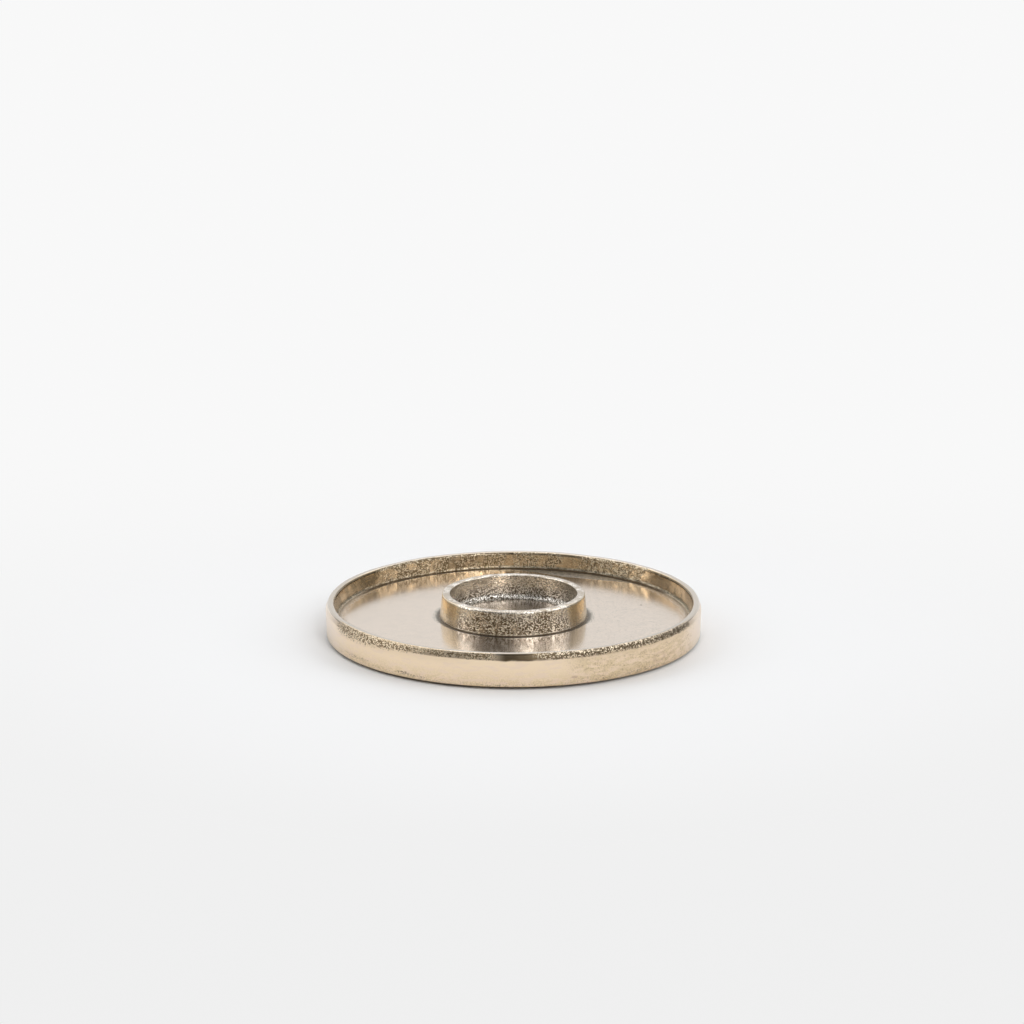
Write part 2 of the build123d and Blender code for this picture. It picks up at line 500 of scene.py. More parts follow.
def lathe(name, outline, segments_at, push=None, closed=False):
    """A turned mesh. The outline runs from the axis or round in a loop. segments_at(r) gives the points of a
    circle at radius r, and push(places, r, z) gives how far each point moves along its normal and up."""
    outline = np.array(outline)
    ahead = np.roll(outline, -1, 0) - outline
    behind = outline - np.roll(outline, 1, 0)
    if not closed:
        ahead[-1], behind[0] = behind[-1], ahead[0]
    along = ahead / np.linalg.norm(ahead, axis=1)[:, None] + behind / np.linalg.norm(behind, axis=1)[:, None]
    along /= np.linalg.norm(along, axis=1)[:, None]
    facing = np.stack((-along[:, 1], along[:, 0]), 1)
    places, normals, radii, heights, firsts = [], [], [], [], []
    for (r, z), (nr, nz) in zip(outline, facing):
        firsts.append(sum(len(block) for block in places))
        count = 1 if r == 0 else segments_at(r)
        angle = np.arange(count) * 2 * math.pi / count - math.pi / 2
        cos, sin = np.cos(angle), np.sin(angle)
        flat = np.full(count, z)
        places.append(np.stack((r * cos, r * sin, flat), 1))
        normals.append(np.stack((nr * cos, nr * sin, np.full(count, nz)), 1))
        radii.append(np.full(count, r))
        heights.append(flat)
    lengths = [len(block) for block in places]
    places, normals = np.concatenate(places), np.concatenate(normals)
    if push:
        outward, upward = push(places, np.concatenate(radii), np.concatenate(heights))
        places = places + normals * outward[:, None]
        places[:, 2] += upward
    faces = []
    last = len(outline) if closed else len(outline) - 1
    for i in range(last):
        j = (i + 1) % len(outline)
        faces.extend(join_rings(firsts[i], lengths[i], firsts[j], lengths[j]))
    mesh = bpy.data.meshes.new(name)
    mesh.from_pydata(places.tolist(), [], faces)
    mesh.validate()
    piece = bpy.data.objects.new(name, mesh)
    bpy.context.scene.collection.objects.link(piece)
    face_outwards(mesh)
    return piece


def join_rings(a, m, b, n):
    """Faces between a circle of m points from index a and one of n points from index b, where one is
    the same as, double or half the other, or a single point."""
    if m == 1 or n == 1:
        tip, base, count = (a, b, n) if m == 1 else (b, a, m)
        return [(tip, base + k, base + (k + 1) % count) for k in range(count)]
    if m == n:
        return [(a + k, a + (k + 1) % m, b + (k + 1) % n, b + k) for k in range(m)]
    if m < n:
        a, m, b, n = b, n, a, m
    faces = []
    for k in range(n):
        left, middle, right = a + 2 * k, a + 2 * k + 1, a + (2 * k + 2) % m
        near, far = b + k, b + (k + 1) % n
        faces += [(left, middle, near), (middle, far, near), (middle, right, far)]
    return faces


def face_outwards(mesh):
    work = bmesh.new()
    work.from_mesh(mesh)
    bmesh.ops.recalc_face_normals(work, faces=work.faces)
    work.to_mesh(mesh)
    work.free()


def drill(piece, outline):
    """Cuts the turned outline out of the piece at each screw."""
    cutter = lathe("cutter", outline, lambda r: HOLE_SEGMENTS)
    work = bmesh.new()
    for low, high in screw_boxes:
        work.from_mesh(cutter.data)
        new = work.verts[-len(cutter.data.vertices):]
        bmesh.ops.translate(work, verts=new, vec=((low.x + high.x) / 2, (low.y + high.y) / 2, 0))
    work.to_mesh(cutter.data)
    work.free()
    cut = piece.modifiers.new("holes", "BOOLEAN")
    cut.operation = "DIFFERENCE"
    cut.solver = "MANIFOLD"
    cut.object = cutter
    shown = piece.evaluated_get(bpy.context.evaluated_depsgraph_get())
    mesh = bpy.data.meshes.new_from_object(shown)
    piece.modifiers.clear()
    piece.data = mesh
    bpy.data.objects.remove(cutter)


def dress(piece, material, node):
    """Gives a piece its material and lets it stand for a node."""
    piece.data.materials.clear()
    piece.data.materials.append(material)
    piece.data.shade_smooth()
    piece.data.set_sharp_from_angle(angle=SHARP_EDGE)
    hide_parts(node)
    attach(piece, "root")


def dish_outline():
    """Section of the dish, from the middle of the tray over the rim to the middle of the underside."""
    seat_outer = ring_foot_outer + seat_clearance
    seat_inner = ring_foot_inner - seat_clearance
    floor_step, wall_step, fine = 6 * MM, 0.5 * MM, 0.3 * MM
    return rounded([
        (0, tray, 0, floor_step), (seat_inner, tray, 0, fine), (seat_inner, ring_seat, 0, 3 * MM),
        (seat_outer, ring_seat, 0, fine), (seat_outer, tray, 0, 3 * MM),
        (crevice_radius - 8 * MM, tray, 0, MM), (crevice_radius - 1.5 * MM, tray, 0, fine),
        (tray_radius, tray, tray_rounding, wall_step), (rim_inner_radius, lip, lip_inner_rounding, fine),
        (dish_radius - lip_ease_width, lip, lip_outer_rounding, wall_step),
        (dish_radius, lip - lip_ease_height, lip_ease_foot_rounding, MM),
        (wall_foot_radius, lower_edge, lower_edge_rounding, 2 * MM),
        (land_inner_radius, lower_edge, land_rounding, MM),
        (recess_radius, recess_roof, recess_rounding, 8 * MM), (0, recess_roof, 0, floor_step)])


def ring_outline():
    """Section of the candle ring, as a loop."""
    wall_step, fine = 0.4 * MM, 0.3 * MM
    return rounded([
        (ring_foot_inner, ring_seat, 0, 2 * MM), (ring_foot_outer, ring_seat, 0, fine),
        (ring_foot_outer, tray, 0, fine), (ring_flared_radius, tray, ring_foot_rounding, wall_step),
        (ring_top_radius, ring_top, ring_outer_rounding, wall_step),
        (bore_radius, ring_top, ring_inner_rounding, wall_step),
        (bore_radius, tray, bore_foot_rounding, fine), (ring_foot_inner, tray, 0, fine)])


def dish_push(places, r, z):
    """Unevenness of the casting: wavy lip, rough inner wall, a crevice with a bead along the wall's foot."""
    turn = turns(places)
    rim = smooth(r, crevice_radius - MM, crevice_radius + MM)
    above = smooth(z, tray - MM, tray + MM)
    inner = rim * above * (1 - smooth(r, rim_inner_radius + MM, rim_inner_radius + 2.4 * MM))
    outer = smooth(r, dish_radius - 3 * MM, dish_radius - MM)
    top = smooth(z, lip - 5 * MM, lip)
    wide, middle, fine, wave = lumps_of(places, DISH_LUMPS, 1)
    outward = 0.05 * MM * outer * wide
    outward += inner * (0.12 * MM * middle + 0.06 * MM * fine)
    outward += top * rim * (0.10 * MM * wide + 0.05 * MM * middle)
    outward += 0.02 * MM * above * (1 - rim) * wide
    foot_height, foot_width, crevice_width = 0.5 * MM, 0.9 * MM, 0.30 * MM
    foot = np.exp(-((z - tray - foot_height) / foot_width) ** 2) * rim * (r < dish_radius - 4 * MM)
    beads = smooth(turn, 116, 126) * (1 - smooth(turn, 152, 162))
    outward += foot * (0.24 * wide + 0.18 * middle + 0.10 * fine + beads * (0.15 + 0.45 * fine)) * MM
    crevice = np.exp(-((r - crevice_radius) / crevice_width) ** 2) * above * (z < tray + foot_height)
    outward -= crevice * (0.25 + 0.10 * fine) * MM
    upward = top * rim * 0.12 * MM * wave
    return outward, upward


def ring_push(places, r, z):
    """Rough casting all over the ring, with a wavy top and a bead round its foot."""
    shown = smooth(z, tray - 0.2 * MM, tray + 1.2 * MM)
    top = smooth(z, ring_top - 2.5 * MM, ring_top - 0.3 * MM)
    wide, middle, fine = lumps_of(places, RING_LUMPS, 11)
    outward = shown * (0.10 * MM * wide + (1 - 0.7 * top) * (0.04 * MM * middle + 0.02 * MM * fine))
    foot_height, foot_width = 0.35 * MM, 0.3 * MM
    foot = np.exp(-((z - tray - foot_height) / foot_width) ** 2)
    foot = foot * smooth(r, ring_flared_radius - MM, ring_flared_radius)
    outward += foot * (0.02 + 0.08 * middle + 0.07 * fine) * MM
    upward = top * (0.10 * MM * wide + 0.05 * MM * middle)
    return outward, upward


def pad_push(places, r, z):
    """Loose fibres round the felt's edge."""
    edge = smooth(r, 2 * MM, 4 * MM)
    tufts, fibres = lumps_of(places, FELT_LUMPS, 21)
    return edge * (0.10 * tufts + 0.06 * fibres) * MM, 0.0


def material_of(name):
    """A new material and its graph, which knows the place, its radius and height, and its turn and side."""
    material = bpy.data.materials.new(name)
    material.use_nodes = True
    g = Graph(material.node_tree)
    g.place = g.node("ShaderNodeTexCoord").outputs["Object"]
    g.x, g.y, g.height = g.node("ShaderNodeSeparateXYZ", Vector=g.place).outputs
    flat = g.stretch(g.place, (1, 1, 0))
    g.radius = g.node("ShaderNodeVectorMath", {"operation": "LENGTH"}, Vector=flat).outputs["Value"]
    g.turn = g.maths("DEGREES", g.maths("ARCTAN2", g.x, g.times(g.y, -1.0)))
    g.side = g.maths("ABSOLUTE", g.turn)
    return material, g


def finish(g, colour, rough, relief, metallic=1.0, **settings):
    bump = g.node("ShaderNodeBump", Strength=1.0, Distance=1.0, Height=relief)
    shader = g.node(
        "ShaderNodeBsdfPrincipled", Base_Color=colour, Roughness=rough, Metallic=metallic,
        Normal=bump.outputs[0], **settings)
    g.node("ShaderNodeOutputMaterial", Surface=shader.outputs[0])


def add_dish_grain(g):
    """Noises that the dish's marks follow, and where their cells are pits or beads, all from 0 to 1."""
    g.fine = g.grain(g.place, FINE_GRAIN, 2.0, 0.6)
    g.lump = g.grain(g.place, DISH_LUMP, 2.0, 0.7)
    g.coarse = g.grain(g.place, DISH_CLOUD, 2.0)
    g.wide = g.grain(g.place, WIDE_CLOUD, 2.0)
    g.streak = g.grain(g.stretch(g.place, (1, 1, 4)), DISH_CLOUD, 3.0, 0.6)
    g.specks = g.add(g.times(g.fine, 0.4), g.times(g.lump, 0.6))
    g.cell = g.cells(g.place, CELL, g.fine)
    more = g.add(*(g.times(g.band(g.turn, start, end, 6), share) for start, end, share in MORE_PITS))
    g.depth = g.less(g.cell, more)
    g.pit = g.rise(g.depth, *PIT_SHARES)
    g.peak = g.rise(g.cell, *PEAK_SHARES)


def find_dish_surfaces(g):
    """Where each surface of the dish is, from 0 to 1."""
    tray_edge = (crevice_radius + 0.4 * MM, crevice_radius - 0.4 * MM)
    above_tray = (tray - MM, tray - 0.5 * MM)
    wall_start = (tray, tray + 0.6 * MM)
    wall_edge = (rim_inner_radius + 1.0 * MM, rim_inner_radius + 0.4 * MM)
    lip_start = (lip - 1.3 * MM, lip - 0.6 * MM)
    outer_edge = (dish_radius - 2.4 * MM, dish_radius - 1.4 * MM)
    below_tray = (tray - 2 * MM, tray - 3 * MM)
    land_edge = (land_outer_radius + 0.3 * MM, land_outer_radius - 0.3 * MM)
    g.off_underside = g.rise(g.height, *above_tray)
    g.on_tray = g.times(g.rise(g.radius, *tray_edge), g.off_underside)
    g.on_rim = g.rise(g.radius, crevice_radius, crevice_radius + 0.5 * MM)
    g.inside = g.times(g.on_rim, g.rise(g.radius, *wall_edge))
    g.on_wall = g.times(g.inside, g.rise(g.height, *wall_start))
    g.on_lip = g.times(g.times(g.on_rim, g.rise(g.height, *lip_start)), g.less(1.0, g.on_wall))
    g.outside = g.rise(g.radius, *outer_edge)
    g.under = g.times(g.rise(g.height, *below_tray), g.rise(g.radius, *land_edge))


def outer_wall_colour(g):
    """Streaks of olive and pink, a painted grazing sheen that pales the sides, stains and, to the right,
    flecks.
    """
    near_foot = (lower_edge + 12 * MM, lower_edge + MM)
    foot = g.rise(g.height, *near_foot)
    olive = g.greater(g.times(foot, 0.8), g.times(g.band(g.turn, *OLIVE_TURNS, 8), 0.85))
    olive = g.times(olive, g.rise(g.add(g.times(g.streak, 0.7), g.times(g.cell, 0.3)), 0.42, 0.60))
    colour = g.mix(g.times(g.outside, olive), OUTER_BRASS, OLIVE_BRASS)
    colour = g.mix(g.times(g.outside, g.rise(g.streak, 0.52, 0.38, 0.0, 0.6)), colour, PINK_BRASS)
    # Painted sheen: the wall pales towards the sides, where the view grazes it
    colour = g.mix(g.times(g.outside, g.rise(g.side, *GRAZING_SHEEN_SIDES, 0.0, 0.45)), colour, GRAZING_SHEEN_BRASS)
    for *mark, strength, stain in STAINS:
        away = g.add(g.away(*mark), g.times(g.less(g.coarse, 0.5), 1.6))
        colour = g.mix(g.times(g.times(g.rise(away, 1.0, 0.5), strength), g.outside), colour, stain)
    for *mark, strength in RING_STAINS:
        away = g.add(g.away(*mark), g.times(g.less(g.lump, 0.5), 1.2))
        colour = g.mix(g.times(g.times(g.near(away, 1.0, 0.6), strength), g.outside), colour, RED_STAIN)
    fleck = g.times(g.band(g.turn, *FLECK_TURNS, 10), g.rise(g.streak, 0.40, 0.55, 0.3, 1.0))
    fleck = g.times(g.rise(g.cell, 0.40, 0.20, 0.05, 0.65), fleck)
    return g.mix(g.times(g.outside, fleck), colour, OLIVE_DARK)


def tray_colour(g, colour):
    """Slightly mottled, grainy towards the right, with one black dot."""
    mottle = g.rise(g.add(g.times(g.coarse, 0.3), g.times(g.specks, 0.7)), 0.42, 0.58, 0.5, 0.0)
    colour = g.mix(g.on_tray, colour, g.mix(mottle, TRAY_BRASS, TRAY_GREY))
    from_grainy = g.maths("ABSOLUTE", g.less(g.turn, GRAINY_TURN))
    g.grainy_tray = g.times(g.on_tray, g.rise(from_grainy, 70, 30, 0.3, 1.0))
    colour = g.mix(g.times(g.grainy_tray, g.rise(g.cell, 0.30, 0.15, 0.0, 0.4)), colour, TRAY_SPECK)
    across, along = (g.maths("POWER", g.less(place, dot), 2.0) for place, dot in zip((g.x, g.y), DOT))
    from_dot = g.maths("SQRT", g.add(across, along))
    return g.mix(g.times(g.on_tray, g.rise(from_dot, *DOT_RADII)), colour, PATINA_AND_DARK_REFLECTION)


def inner_wall_colour(g, colour):
    """The inner wall, bright at the front and clouded behind, with a painted dark reflection just below the
    lip at the back, and the lip.
    """
    dark_edge = (lip - 1.4 * MM, lip - 0.55 * MM)
    behind, ahead = g.rise(g.side, 70, 100), g.rise(g.side, 100, 70)
    cloud = g.rise(g.add(g.times(g.wide, 0.6), g.times(g.coarse, 0.4)), 0.44, 0.60)
    cloud = g.times(g.times(cloud, g.rise(g.side, 70, 110)), g.rise(g.turn, 120, 140, 1.0, 0.15))
    colour = g.mix(g.times(g.on_wall, ahead), colour, BRIGHT_BRASS)
    colour = g.mix(g.times(g.on_wall, behind), colour, g.mix(cloud, WALL_BRASS, WALL_DARK))
    colour = g.mix(g.on_lip, colour, LIP_BRASS)
    # Painted dark reflection of the dim room just below the lip at the back
    edge = g.times(g.inside, g.band(g.height, *dark_edge, 0.35 * MM))
    edge = g.times(g.times(edge, behind), g.rise(g.turn, 110, 150, 0.8, 0.5))
    return g.mix(edge, colour, PATINA_AND_DARK_REFLECTION)


def find_band(g):
    """The pitted band along the eased lip, from 0 to 1. It is wider at the left and has gaps at the
    sides and at the front."""
    gap_start, gap_end, front_gap = (69, 60), (100, 120), (-4, 5)
    top_edge = (lip + 0.1 * MM, lip - 0.3 * MM)
    left = g.times(g.rise(g.turn, *BAND_WIDENS), g.rise(g.turn, *BAND_NARROWS))
    band_foot = g.add(lip - BAND_DEPTH, g.times(g.coarse, BAND_WAVE))
    band_foot = g.add(g.times(left, -BAND_LEFT_DEPTH), band_foot)
    fade = g.add(2.2 * MM, g.times(left, 3.0 * MM))
    g.above_foot = g.less(g.height, band_foot)
    band = g.times(g.outside, g.rise(g.above_foot, 0.0, fade))
    band = g.times(band, g.rise(g.height, *top_edge))
    g.ends = g.greater(g.rise(g.side, *gap_start), g.rise(g.side, *gap_end, 0.0, 0.5))
    worn_away = g.blend(g.band(g.turn, *front_gap, 3), g.rise(g.wide, 0.30, 0.46, 0.8, 1.0), 0.04)
    g.lip_band = g.times(g.times(band, g.ends), worn_away)


def find_rough_wall(g):
    """The rough stretches of the inner wall and the beads along its foot, from 0 to 1."""
    uneven_turn = g.add(g.turn, g.times(g.less(g.coarse, 0.5), 24.0))
    rough = 0.0
    for middle, half in ROUGH_WALL:
        rough = g.greater(rough, g.band(uneven_turn, middle - half, middle + half, 7))
    rough = g.blend(rough, g.rise(g.coarse, 0.50, 0.64, 0.08, 0.4), g.rise(g.coarse, 0.38, 0.5, 0.5, 1.0))
    g.rough_wall = g.times(g.on_wall, rough)
    bead_heights = (tray + 0.3 * MM, tray + 1.3 * MM)
    wall_foot = g.times(g.on_rim, g.band(g.height, *bead_heights, 0.5 * MM))
    g.beads = g.times(g.times(wall_foot, g.rise(g.radius, rim_inner_radius + MM, rim_inner_radius)), 0.9)


def pitted(g, colour):
    """The band's brown, a painted dark reflection as a line along it at the front, and the pits and beads on
    it and on the rough wall.
    """
    tinted, clear_top = (lip - 10 * MM, lip - 3 * MM), (lip - 1.8 * MM, lip - 0.5 * MM)
    front_foot, top_edge = (-0.5 * MM, 0.8 * MM), (lip + 0.1 * MM, lip - 0.5 * MM)
    tint = g.times(g.outside, g.rise(g.height, *tinted))
    tint = g.times(tint, g.times(g.ends, g.rise(g.side, 6, 26)))
    colour = g.mix(g.times(tint, 0.55), colour, BAND_TINT)
    # Painted dark reflection of the dim room along the band at the front
    front = g.times(g.outside, g.rise(g.above_foot, *front_foot))
    front = g.times(front, g.band(g.turn, *FRONT_REFLECTION_TURNS, 4))
    colour = g.mix(g.times(front, g.rise(g.height, *top_edge)), colour, FRONT_REFLECTION_DARK)
    pits = g.add(g.depth, g.times(g.less(1.0, g.lip_band), 0.35))
    pits = g.add(pits, g.rise(g.height, *clear_top, -0.05, 0.20))
    pits = g.times(g.rise(pits, *PIT_SHARES), g.rise(g.lip_band, 0.0, 0.25))
    worn_wall = g.times(g.rough_wall, g.rise(g.turn, 0, 90, 0.6, 1.0))
    worn = g.greater(g.times(g.lip_band, 0.8), g.greater(worn_wall, g.beads))
    colour = g.mix(g.times(worn, g.peak), colour, BRIGHT_BRASS)
    brown = g.mix(g.band(g.turn, *BROWN_TURNS, 8), BAND_BRASS, BAND_BROWN)
    colour = g.mix(g.times(g.lip_band, g.rise(g.cell, 0.66, 0.50, 0.1, 0.9)), colour, brown)
    g.low = g.greater(pits, g.times(g.pit, g.greater(g.rough_wall, g.times(g.beads, 0.8))))
    dark = g.mix(g.band(g.turn, *DARKEST_TURNS, 8), BAND_DARK, PATINA_AND_DARK_REFLECTION)
    return g.mix(g.times(g.low, 0.88), colour, dark)


def scratched(g, colour):
    """Specks and scratches low on the outer wall."""
    dirt = 0.0
    for *mark, strength in SCRATCHES:
        dirt = g.greater(dirt, g.times(g.rise(g.away(*mark), 1.3, 0.4), strength))
    near_foot = (lower_edge + 5 * MM, lower_edge + 0.5 * MM)
    scattered = g.times(g.rise(g.height, *near_foot), 0.4)
    dirt = g.times(g.outside, g.greater(dirt, scattered))
    dirt = g.times(dirt, g.rise(g.add(g.specks, g.times(dirt, 0.06)), 0.545, 0.60))
    return g.mix(g.times(dirt, 0.85), colour, PATINA_AND_DARK_REFLECTION)


def find_crevice(g):
    """The dark line in the corner at the foot of the inner wall, and the grey smear on it at the back right
    and at both sides."""
    line_top, smear_top = (tray + 0.9 * MM, tray + 0.4 * MM), (tray + 2.6 * MM, tray + 0.8 * MM)
    line_width, wave, soft = 1.6 * MM, 2.2 * MM, 0.25 * MM
    line_inside = g.add(g.less(g.radius, crevice_radius - line_width), g.times(g.less(g.lump, 0.5), wave))
    line = g.rise(line_inside, -soft, soft)
    line = g.times(line, g.rise(g.height, *line_top))
    line = g.times(line, g.times(g.off_underside, g.less(1.0, g.outside)))
    g.line = g.times(line, g.less(1.0, g.times(g.band(g.side, 50, 112, 12), 0.85)))
    by_floor = g.times(g.off_underside, g.rise(g.height, *smear_top))
    by_floor = g.times(by_floor, g.less(1.0, g.outside))
    out = g.less(g.radius, crevice_radius)
    back = g.maths("DEGREES", g.maths("ARCTAN2", g.x, g.y))
    width = g.times(g.near(back, *SMEAR_TURNS), SMEAR_WIDTH)
    smear = g.add(out, g.add(width, g.times(g.less(g.coarse, 0.5), 3 * MM)))
    smear = g.times(g.rise(smear, -0.4 * MM, 1.4 * MM), g.rise(width, 0.2 * MM, 2 * MM))
    sides = g.rise(g.add(out, g.times(g.less(g.cell, 0.5), 5 * MM)), -4.5 * MM, -0.5 * MM)
    sides = g.times(sides, g.greater(*(g.band(g.turn, *span, 10) for span in GREY_TURNS)))
    g.smear = g.times(g.greater(smear, sides), by_floor)


def find_seam(g):
    """The dark seam round the ring's foot and the dotted halo about it, wider at the sides."""
    out = g.less(g.radius, ring_foot_outer)
    off_ring = g.rise(g.radius, bore_radius, bore_radius + MM)
    halo_width, side_width, seam_edge = 1.0 * MM, 2.2 * MM, (2.0 * MM, 0.8 * MM)
    width = g.add(halo_width, g.times(g.band(g.side, 76, 108, 12), side_width))
    by_ring = g.times(g.times(g.rise(g.maths("DIVIDE", out, width), 1.6, 0.0), g.on_tray), off_ring)
    dotted = g.rise(g.add(g.cell, g.times(by_ring, 0.7)), 0.84, 0.98)
    g.halo = g.times(dotted, g.rise(by_ring, 0.0, 0.5, 0.0, 0.9))
    seam = g.rise(g.add(out, g.times(g.less(g.lump, 0.5), 3 * MM)), *seam_edge)
    g.seam = g.times(g.times(seam, g.on_tray), off_ring)


def patinated(g, colour):
    """Patina in the crevice and round the ring, and the dull underside."""
    colour = g.mix(g.times(g.smear, g.rise(g.cell, 0.36, 0.64, 0.95, 0.35)), colour, GREY_PATINA)
    colour = g.mix(g.halo, colour, GREEN_PATINA)
    colour = g.mix(g.times(g.seam, 0.85), colour, PATINA_AND_DARK_REFLECTION)
    colour = g.mix(g.times(g.line, g.rise(g.specks, 0.62, 0.56, 0.4, 1.0)), colour, PATINA_AND_DARK_REFLECTION)
    return g.mix(g.times(g.under, 0.9), colour, UNDER_BRASS)


def dish_gloss(g):
    rough = g.blend(g.outside, g.blend(g.on_tray, PLAIN_ROUGH, TRAY_ROUGH), SATIN_ROUGH)
    rough = g.blend(g.inside, rough, WALL_ROUGH)
    rough = g.blend(g.on_lip, rough, LIP_ROUGH)
    rough = g.blend(g.greater(g.lip_band, g.greater(g.rough_wall, g.beads)), rough, BEAD_ROUGH)
    rough = g.blend(g.greater(g.low, g.greater(g.line, g.smear)), rough, PIT_ROUGH)
    rough = g.blend(g.greater(g.halo, g.seam), rough, SATIN_ROUGH)
    return g.blend(g.under, rough, UNDER_ROUGH)


def dish_relief(g):
    """Height of the grain, deep on the band, the rough wall and the beads and shallow elsewhere."""
    rough_wall = g.times(g.rough_wall, g.add(g.times(g.band(g.side, 128, 152, 8), 0.6), 0.4))
    rough_places = g.greater(
        g.greater(g.lip_band, g.greater(rough_wall, g.beads)),
        g.greater(g.times(g.under, 0.6), g.times(g.smear, 0.5)))
    fine_depths, lump_depths = (0.003 * MM, 0.15 * MM), (0.006 * MM, 0.13 * MM)    # smooth, rough
    tray_depth, glint_depth = 0.014 * MM, 0.22 * MM
    depth = g.add(g.blend(rough_places, *fine_depths), g.times(g.grainy_tray, tray_depth))
    relief = g.times(g.fine, depth)
    relief = g.add(relief, g.times(g.lump, g.blend(rough_places, *lump_depths)))
    glints = g.times(g.rough_wall, g.band(g.side, *GLINT_SIDES, 8))
    return g.add(relief, g.times(g.lump, g.times(glints, glint_depth)))


def dish_metal():
    material, g = material_of("cast_brass_dish")
    add_dish_grain(g)
    for find in (find_dish_surfaces, find_band, find_rough_wall, find_crevice, find_seam):
        find(g)
    colour = outer_wall_colour(g)
    for layer in (tray_colour, inner_wall_colour, pitted, scratched, patinated):
        colour = layer(g, colour)
    finish(g, colour, dish_gloss(g), dish_relief(g))
    return material


def add_ring_grain(g):
    """Noises that the ring's marks follow, from 0 to 1."""
    g.fine = g.grain(g.place, FINE_GRAIN, 2.0, 0.6)
    g.lump = g.grain(g.place, RING_LUMP, 2.0, 0.7)
    g.coarse = g.grain(g.place, RING_CLOUD, 2.0)
    g.specks = g.add(g.times(g.fine, 0.4), g.times(g.lump, 0.6))
    g.cell = g.cells(g.place, CELL, g.fine)


def find_ring_places(g):
    """Where each surface of the ring is, and where it is pitted or has beads, from 0 to 1."""
    top_edge = (ring_top - 0.45 * MM, ring_top - 0.15 * MM)
    bore_edge = (bore_radius + MM, bore_radius + 2 * MM)
    lower_part, bore_low = (ring_top - 4 * MM, ring_top - 10 * MM), (tray + 9 * MM, tray + 2 * MM)
    wave, front_drop = 7 * MM, 5 * MM
    g.on_top = g.rise(g.height, *top_edge)
    g.outside = g.rise(g.radius, *bore_edge)
    uneven = g.add(g.height, g.times(g.less(g.coarse, 0.5), wave))
    g.uneven = g.less(uneven, g.times(g.outside, g.rise(g.side, 55, 25, 0.0, front_drop)))
    g.lower = g.rise(g.uneven, *lower_part)
    g.ends = g.times(g.band(g.side, *RING_END_SIDES, 9), g.outside)
    g.bore_foot = g.times(g.less(1.0, g.outside), g.rise(g.uneven, *bore_low))
    rough = g.times(g.rise(g.coarse, 0.34, 0.50, 0.7, 1.0), g.blend(g.lower, 0.75, 1.0))
    smooth_places = g.times(g.less(1.0, g.times(g.ends, 0.7)), g.less(1.0, g.times(g.on_top, 0.9)))
    g.rough_places = g.times(rough, smooth_places)
    depth = g.add(g.cell, g.blend(g.outside, 0.06, 0.0))
    g.low = g.rise(depth, g.blend(g.lower, 0.44, 0.56), g.blend(g.lower, 0.38, 0.50))
    g.peak = g.rise(g.cell, g.blend(g.lower, 0.58, 0.64), g.blend(g.lower, 0.64, 0.70))


def ring_wall_colour(g):
    """Grey below, golden at the left end and olive at the right one, with painted reflections as upright
    streaks, pale where the lamps mirror in it and brown where the dim room does, and browner by the tray
    towards the front.
    """
    colour = g.mix(g.lower, RING_BRASS, RING_GREY)
    gold = g.mix(g.rise(g.turn, -20, 20), RING_GOLD, RING_OLIVE)
    colour = g.mix(g.times(g.ends, g.less(1.0, g.times(g.lower, 0.15))), colour, gold)
    # Painted shade and dark reflections, browner left of the front and low by the tray
    shade = g.times(g.band(g.turn, *RING_SHADED_TURNS, 6), g.add(g.times(g.lower, 0.4), 0.35))
    brown_foot = (tray + 5.5 * MM, tray + 0.5 * MM)
    by_tray = g.rise(g.uneven, *brown_foot)
    shade = g.greater(shade, g.times(by_tray, g.rise(g.side, 70, 40, 0.1, 0.65)))
    # Painted reflections: pale where the lamps mirror in the ring, brown where the dim room does
    colour = g.mix(g.times(g.spots(LAMP_REFLECTION_STREAKS, 0.0), g.outside), colour, RING_LAMP_REFLECTION)
    return g.mix(g.times(g.spots(DARK_REFLECTION_STREAKS, shade), g.outside), colour, RING_SHADE_BROWN)


def ring_metal():
    material, g = material_of("cast_brass_ring")
    add_ring_grain(g)
    find_ring_places(g)
    colour = ring_wall_colour(g)
    # Silvery beads and dark pits, densest low in the bore
    bore = g.mix(g.rise(g.cell, 0.52, 0.62), BORE_DARK, BORE_PALE)
    colour = g.mix(g.times(g.bore_foot, 0.9), colour, bore)
    bead = g.times(g.peak, g.less(1.0, g.times(g.bore_foot, 0.35)))
    colour = g.mix(g.times(g.rough_places, bead), colour, RING_SILVER)
    colour = g.mix(g.times(g.rough_places, g.times(g.low, 0.85)), colour, PATINA_AND_DARK_REFLECTION)
    # The polished top, and the foot with a bead above a dark line
    top_pale = g.rise(g.add(g.times(g.coarse, 0.5), g.times(g.lump, 0.5)), 0.48, 0.60)
    colour = g.mix(g.on_top, colour, g.mix(top_pale, RING_TOP_BRASS, RING_TOP_PALE))
    bead_heights, foot_edge = (tray + 0.5 * MM, tray + 1.0 * MM), (tray + 0.9 * MM, tray + 0.45 * MM)
    foot_bead = g.times(g.outside, g.band(g.height, *bead_heights, 0.3 * MM))
    colour = g.mix(g.times(foot_bead, g.rise(g.specks, 0.46, 0.54, 0.2, 0.9)), colour, RING_SILVER)
    foot = g.times(g.rise(g.height, *foot_edge), g.times(g.outside, 0.9))
    colour = g.mix(foot, colour, PATINA_AND_DARK_REFLECTION)
    # Gloss and relief
    rough = g.blend(g.greater(g.bore_foot, g.rough_places), RING_ROUGH, BEAD_ROUGH)
    rough = g.blend(g.times(g.rough_places, g.low), rough, PIT_ROUGH)
    fine_depths, lump_depths, bore_depth = (0.004 * MM, 0.07 * MM), (0.012 * MM, 0.06 * MM), 0.16 * MM
    relief = g.times(g.fine, g.blend(g.rough_places, *fine_depths))
    lump_depth = g.blend(g.bore_foot, g.blend(g.rough_places, *lump_depths), bore_depth)
    finish(g, colour, rough, g.add(relief, g.times(g.lump, lump_depth)))
    return material


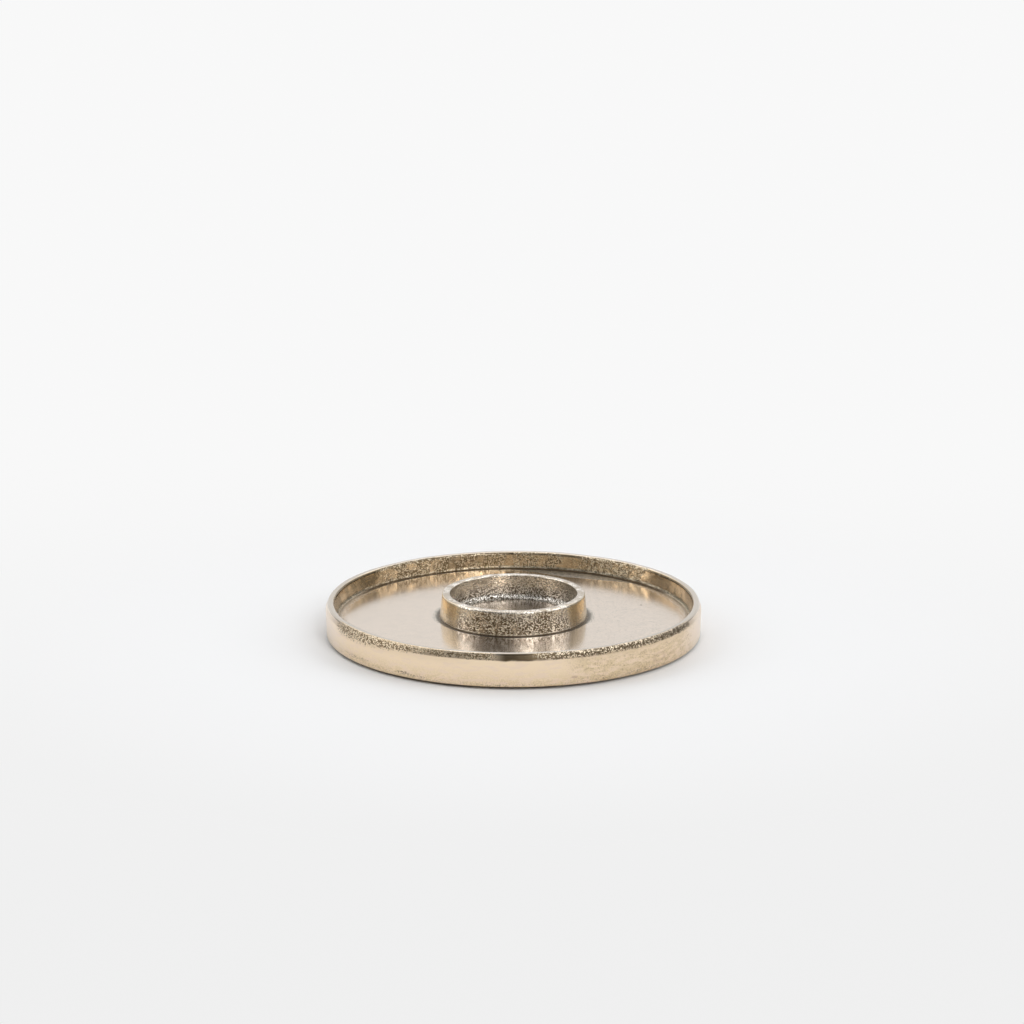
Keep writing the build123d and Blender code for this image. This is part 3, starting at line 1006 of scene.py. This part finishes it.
def felt():
    material, g = material_of("brown_felt")
    fibres = g.grain(g.stretch(g.place, (1, 0.25, 1)), 0.12 * MM, 3.0, 0.7)
    across = g.grain(g.stretch(g.place, (0.25, 1, 1)), 0.12 * MM, 3.0, 0.7)
    both = g.greater(fibres, across)
    clumps = g.grain(g.place, 1.6 * MM, 2.0)
    colour = g.mix(g.rise(g.add(both, g.times(clumps, 0.3)), 0.60, 0.85), FELT, FELT_LIGHT)
    finish(g, colour, g.blend(clumps, 0.85, 0.98), g.times(both, 0.12 * MM), 0.0, Sheen_Weight=0.35)
    return material


def steel():
    material, g = material_of("zinc_steel")
    fine = g.grain(g.place, 0.25 * MM, 3.0, 0.6)
    cloud = g.grain(g.place, 1.4 * MM, 2.0)
    dull = g.rise(g.add(g.times(fine, 0.5), g.times(cloud, 0.5)), 0.44, 0.58)
    colour = g.mix(dull, STEEL_DULL, STEEL)
    finish(g, colour, g.blend(dull, 0.48, 0.26), g.times(fine, 0.01 * MM))
    return material


def dish_segments(r):
    return next(count for above, count in DISH_SEGMENTS if r > above)


def make_dish():
    piece = lathe("dish_casting", dish_outline(), dish_segments, dish_push)
    sink = screw_head_radius + head_clearance
    drill(piece, [
        (0, recess_roof - MM), (sink, recess_roof - MM), (sink, recess_roof + head_rim),
        (hole_radius, recess_roof + head_rim + sink - hole_radius), (hole_radius, tray), (0, tray)])
    dress(piece, dish_metal(), "dish")


def make_ring():
    piece = lathe("ring_casting", ring_outline(), lambda r: RING_SEGMENTS, ring_push, closed=True)
    drill(piece, [
        (0, ring_seat - MM), (thread_radius, ring_seat - MM), (thread_radius, screw_top + tip_clearance),
        (0, screw_top + tip_clearance)])
    dress(piece, ring_metal(), "candle_ring")


def make_pads():
    material = felt()
    step, fine_step = 0.5 * MM, 0.15 * MM
    for index, (low, high) in enumerate(pad_boxes):
        radius, top = (high.x - low.x) / 2, high.z
        outline = rounded([
            (0, top, 0, step), (radius, top, pad_top_rounding, fine_step),
            (radius, pad_chamfer, pad_rounding, fine_step), (radius - pad_chamfer, 0, pad_rounding, step),
            (0, 0, 0, step)])
        piece = lathe("felt_%d" % (index + 1), outline, lambda r: PAD_SEGMENTS, pad_push)
        for vertex in piece.data.vertices:
            vertex.co.x += (low.x + high.x) / 2
            vertex.co.y += (low.y + high.y) / 2
            vertex.co.z = min(max(vertex.co.z, 0), top)
        dress(piece, material, "felt_pad_%d" % (index + 1))


def dress_screws():
    material = steel()
    for index in range(SCREWS):
        mesh = frame["nodes"]["ring_screw_%d" % (index + 1)].data
        mesh.materials.clear()
        mesh.materials.append(material)


make_camera()
make_studio()
make_floor()
make_dish()
make_ring()
make_pads()
dress_screws()
bpy.context.scene.view_settings.view_transform = "Standard"
